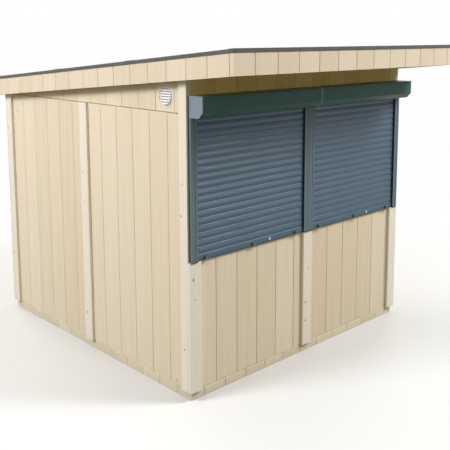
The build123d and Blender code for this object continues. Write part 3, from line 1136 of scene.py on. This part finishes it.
def bottom_bar(name):
    node = f"shutter_bottom_bar_{name}"
    a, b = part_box(node)
    face = a.y + stop_projection
    depth = b.y - face
    middle_y = face + depth / 2
    height = b.z - a.z - bar_seal - bar_clearance
    outline = rounded(depth, height, bar_edge, middle_y, a.z + bar_seal + height / 2)
    pile = Pile(node)
    pile.add(prism(outline, along_x, a.x, b.x), "x")
    pile.piece(f"{node}_profile", slat_paint, (node,), smooth_angle=35)

    pile = Pile(f"{node} seal")
    outline = rounded(depth - 2 * bar_seal_inset, bar_seal, bar_seal_edge, middle_y, a.z + bar_seal / 2)
    pile.add(prism(outline, along_x, a.x, b.x), "x")
    pile.piece(f"shutter_bar_seal_{name}", rubber, smooth_angle=35)

    unit_low, unit_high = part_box(f"shutter_caps_{name}")
    middle = (unit_low.x + unit_high.x) / 2
    pile = Pile(f"{node} stops")
    rim = [
        (0.0, 0.0),
        (0.0, stop_projection - 0.0030),
        (0.0004, stop_projection - 0.0015),
        (0.0015, stop_projection - 0.0004),
        (0.0030, stop_projection),
        (0.0042, stop_projection - 0.0002),
        (0.0050, stop_projection - 0.0010),
    ]
    for x in (unit_low.x + stop_from_end, middle, unit_high.x - stop_from_end):
        pile.add(button(*stop_size, stop_radius, rim, on_front(x, face, a.z + stop_middle)))
    pile.piece(f"shutter_stops_{name}", stop_plastic, smooth_angle=35)

    place = on_front(middle + lock_from_middle, face, a.z + lock_middle)
    pile = Pile(f"{node} lock")
    pile.add(turned(lock_profile, place, 28))
    pile.piece(f"shutter_lock_{name}", bare_metal, smooth_angle=35)
    pile = Pile(f"{node} keyhole")
    pile.add(button(*keyhole_size, keyhole_radius, keyhole_rim, place))
    pile.piece(f"shutter_keyhole_{name}", rubber)


def housing(name):
    """Folded sheet housing: an inspection cover below a top and back sheet, with a plug on its chamfer."""
    node = f"shutter_box_{name}"
    a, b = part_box(node)
    chamfer_top = a.z + box_chamfer
    seam = b.z - seam_drop
    cover = [(b.y - slot_front, a.z), (a.y + box_chamfer, a.z), (a.y, chamfer_top), (a.y, seam - seam_gap)]
    shell = [(a.y, seam), (a.y, b.z), (b.y, b.z), (b.y, a.z)]
    pile = Pile(node)
    for path, thickness in ((cover, box_sheet), (shell, slot_back)):
        pile.add(prism(bent_sheet(path, thickness, box_bend), along_x, a.x, b.x), "x")
    # The sheets take the slat paint with painted greenish shade light in it.
    pile.piece(f"{node}_sheets", housing_paint_shade_tinted, (node,), smooth_angle=25)

    lean = math.sqrt(0.5)
    middle = (b.x - plug_from_end, a.y + box_chamfer / 2, a.z + box_chamfer / 2)

    def on_chamfer(u, v, h):
        return (middle[0] + u, middle[1] - lean * (v + h), middle[2] + lean * (v - h))

    pile = Pile(f"{node} plug")
    pile.add(button(*plug_size, plug_radius, plug_rim, on_chamfer))
    pile.piece(f"shutter_plug_{name}", cap_paint, smooth_angle=35)


def seals_and_painted_shade(name, outer):
    """Black rubber strips before each rail's groove, round each rail's foot, and along the outer rail's back.
    They are seals in part, and in part painted shade for the dark lines at these places.
    """
    rails_low, rails_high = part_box(f"shutter_rails_{name}")
    a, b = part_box(f"shutter_caps_{name}")
    groove_front = rails_high.y - slot_front + groove_setback
    flap_back = groove_front - flap_clearance
    pile = Pile(f"seals {name}")
    for start, end, inward in ((a.x, a.x + rail_width, 1), (b.x - rail_width, b.x, -1)):
        side = end if inward > 0 else start
        flap = rectangle(side, side + inward * flap_thickness, rails_low.y + flap_setback, flap_back)
        pile.add(ease(prism(flap, upright, rails_low.z, rails_high.z), flap_thickness / 3))
        foot = [
            (end + foot_wrap, groove_front),
            (end + foot_wrap, rails_low.y - foot_wrap),
            (start - foot_wrap, rails_low.y - foot_wrap),
            (start - foot_wrap, groove_front),
        ]
        sheet = bent_sheet(foot, foot_wrap, foot_bend)
        pile.add(prism(sheet, upright, rails_low.z, rails_low.z + foot_height))
    x_face = a.x if outer < 0 else b.x
    xs = sorted((x_face - outer * seal_clearance, x_face - outer * seal_inset))
    plan = rectangle(*xs, rails_high.y - seal_depth + seal_clearance, rails_high.y)
    strip = prism(plan, upright, rails_low.z, b.z - seal_clearance)
    pile.add(ease(strip, seal_bevel, segments=2))
    pile.piece(f"shutter_seals_{name}", rubber, smooth_angle=35)


for name, outer in (("left", -1), ("right", 1)):
    curtain(name)
    bottom_bar(name)
    housing(name)
    seals_and_painted_shade(name, outer)


screen_edge = 0.0004
screen_radius = vent_hole / 2 - screen_edge
screen_depth = 0.005
screen_pitch = 0.005
wire_half = 0.0006
wire_heights = (-0.0003, 0.0007)


def vent_screen():
    """Fly screen in the wall's hole, behind the louvres: a backing disc with crossed wires."""
    place = on_left(left + screen_depth, vent_y, vent_z)
    pile = Pile("vent screen")
    disc = ((screen_radius, -0.0020), (screen_radius, -screen_edge), (screen_radius - screen_edge, 0.0))
    pile.add(turned(disc, place, 48))
    count = math.floor(screen_radius / screen_pitch)
    for i in range(-count, count + 1):
        middle = i * screen_pitch
        half = math.sqrt(screen_radius**2 - middle**2) - wire_half
        wire = rectangle(middle - wire_half, middle + wire_half, -half, half)
        for outline in (wire, [(v, u) for u, v in wire]):
            pile.add(loft([[place(u, v, h) for u, v in outline] for h in wire_heights]))
    pile.piece("vent_screen", screen_plastic, smooth_angle=35)


vent_screen()


# Materials of the nodes that stay as they are

def dress(node, material):
    mesh = nodes[node].data
    mesh.materials.clear()
    mesh.materials.append(material)


for node in ("front_jambs", "front_mullion"):
    dress(node, post_wood)
dress("floor_bearers", bearer_wood)
dress("vent_grille", vent_plastic)
for name in ("left", "right"):
    dress(f"shutter_caps_{name}", cap_paint)
    dress(f"shutter_rails_{name}", rail_paint)


# Stage: floor, world and lamps

dome_horizon = 0.52
dome_top = 0.60
dome_power = 1.5
dome_colour = (1.0, 0.97, 0.86, 1)
floor_bounce = (0.12, 0.115, 0.085, 1)
floor_shown = (0.64, 0.64, 0.64, 1)
fade_start = 1.6
fade_end = 4.2
floor_reach = 40.0
floor_drop = 0.0005
lamp_size = 4.0
lamp_aim = Vector((0.0, 0.0, 1.2))
cool_white = (0.97, 0.98, 1.0)


def stage_floor():
    """Pale floor that shows white far from the hut, and throws little light back."""
    mesh = bpy.data.meshes.new("stage_floor")
    plan = rectangle(-floor_reach, floor_reach, -floor_reach, floor_reach)
    mesh.from_pydata([(x, y, -floor_drop) for x, y in plan], [], [(0, 1, 2, 3)])
    floor = bpy.data.objects.new("stage_floor", mesh)
    bpy.context.scene.collection.objects.link(floor)
    n = Nodes("stage_floor")
    fade = n.steps(n.length(n.place()), fade_start, fade_end)
    shown = n.mix(fade, floor_shown, (0, 0, 0, 1))
    seen = n.seen()
    n.surface(n.mix(seen, floor_bounce, shown), 0.9, Specular_IOR_Level=0.0)
    n.shader.inputs["Emission Color"].default_value = (1, 1, 1, 1)
    n.feed(n.shader.inputs["Emission Strength"], n.maths("MULTIPLY", seen, fade))
    mesh.materials.append(n.material)


def world():
    """A warm dome, a little brighter overhead. It shows white behind the hut."""
    made = bpy.data.worlds.new("studio")
    bpy.context.scene.world = made
    n = Nodes(made)
    background = n.tree.nodes["Background"]
    parts = n.add("ShaderNodeSeparateXYZ")
    n.join(n.place("Generated"), parts.inputs[0])
    rise = n.maths("POWER", n.maths("MAXIMUM", parts.outputs["Z"], 0.0), dome_power)
    dome = n.maths("ADD", n.maths("MULTIPLY", rise, dome_top - dome_horizon), dome_horizon)
    seen = n.seen()
    unseen = n.maths("MULTIPLY", n.maths("SUBTRACT", 1.0, seen), dome)
    n.join(n.maths("ADD", seen, unseen), background.inputs["Strength"])
    n.join(n.mix(seen, dome_colour, (1, 1, 1, 1)), background.inputs["Color"])


def lamp(name, place, power, colour=(1, 1, 1)):
    """A soft round lamp that looks at the hut's middle."""
    data = bpy.data.lights.new(name, "AREA")
    data.shape = "DISK"
    data.size = lamp_size
    data.energy = power
    data.color = colour
    obj = bpy.data.objects.new(name, data)
    obj.location = place
    obj.rotation_euler = (lamp_aim - obj.location).to_track_quat("-Z", "Y").to_euler()
    bpy.context.scene.collection.objects.link(obj)


stage_floor()
world()
lamp("key_left", (-8.6, 1.6, 7.6), 870, cool_white)
lamp("key_front", (6.0, -7.4, 9.2), 1230)
lamp("fill_right", (9.0, 3.0, 8.0), 280)
lamp("fill_back", (0.0, 9.0, 8.0), 420)
bpy.context.scene.view_settings.view_transform = "Standard"
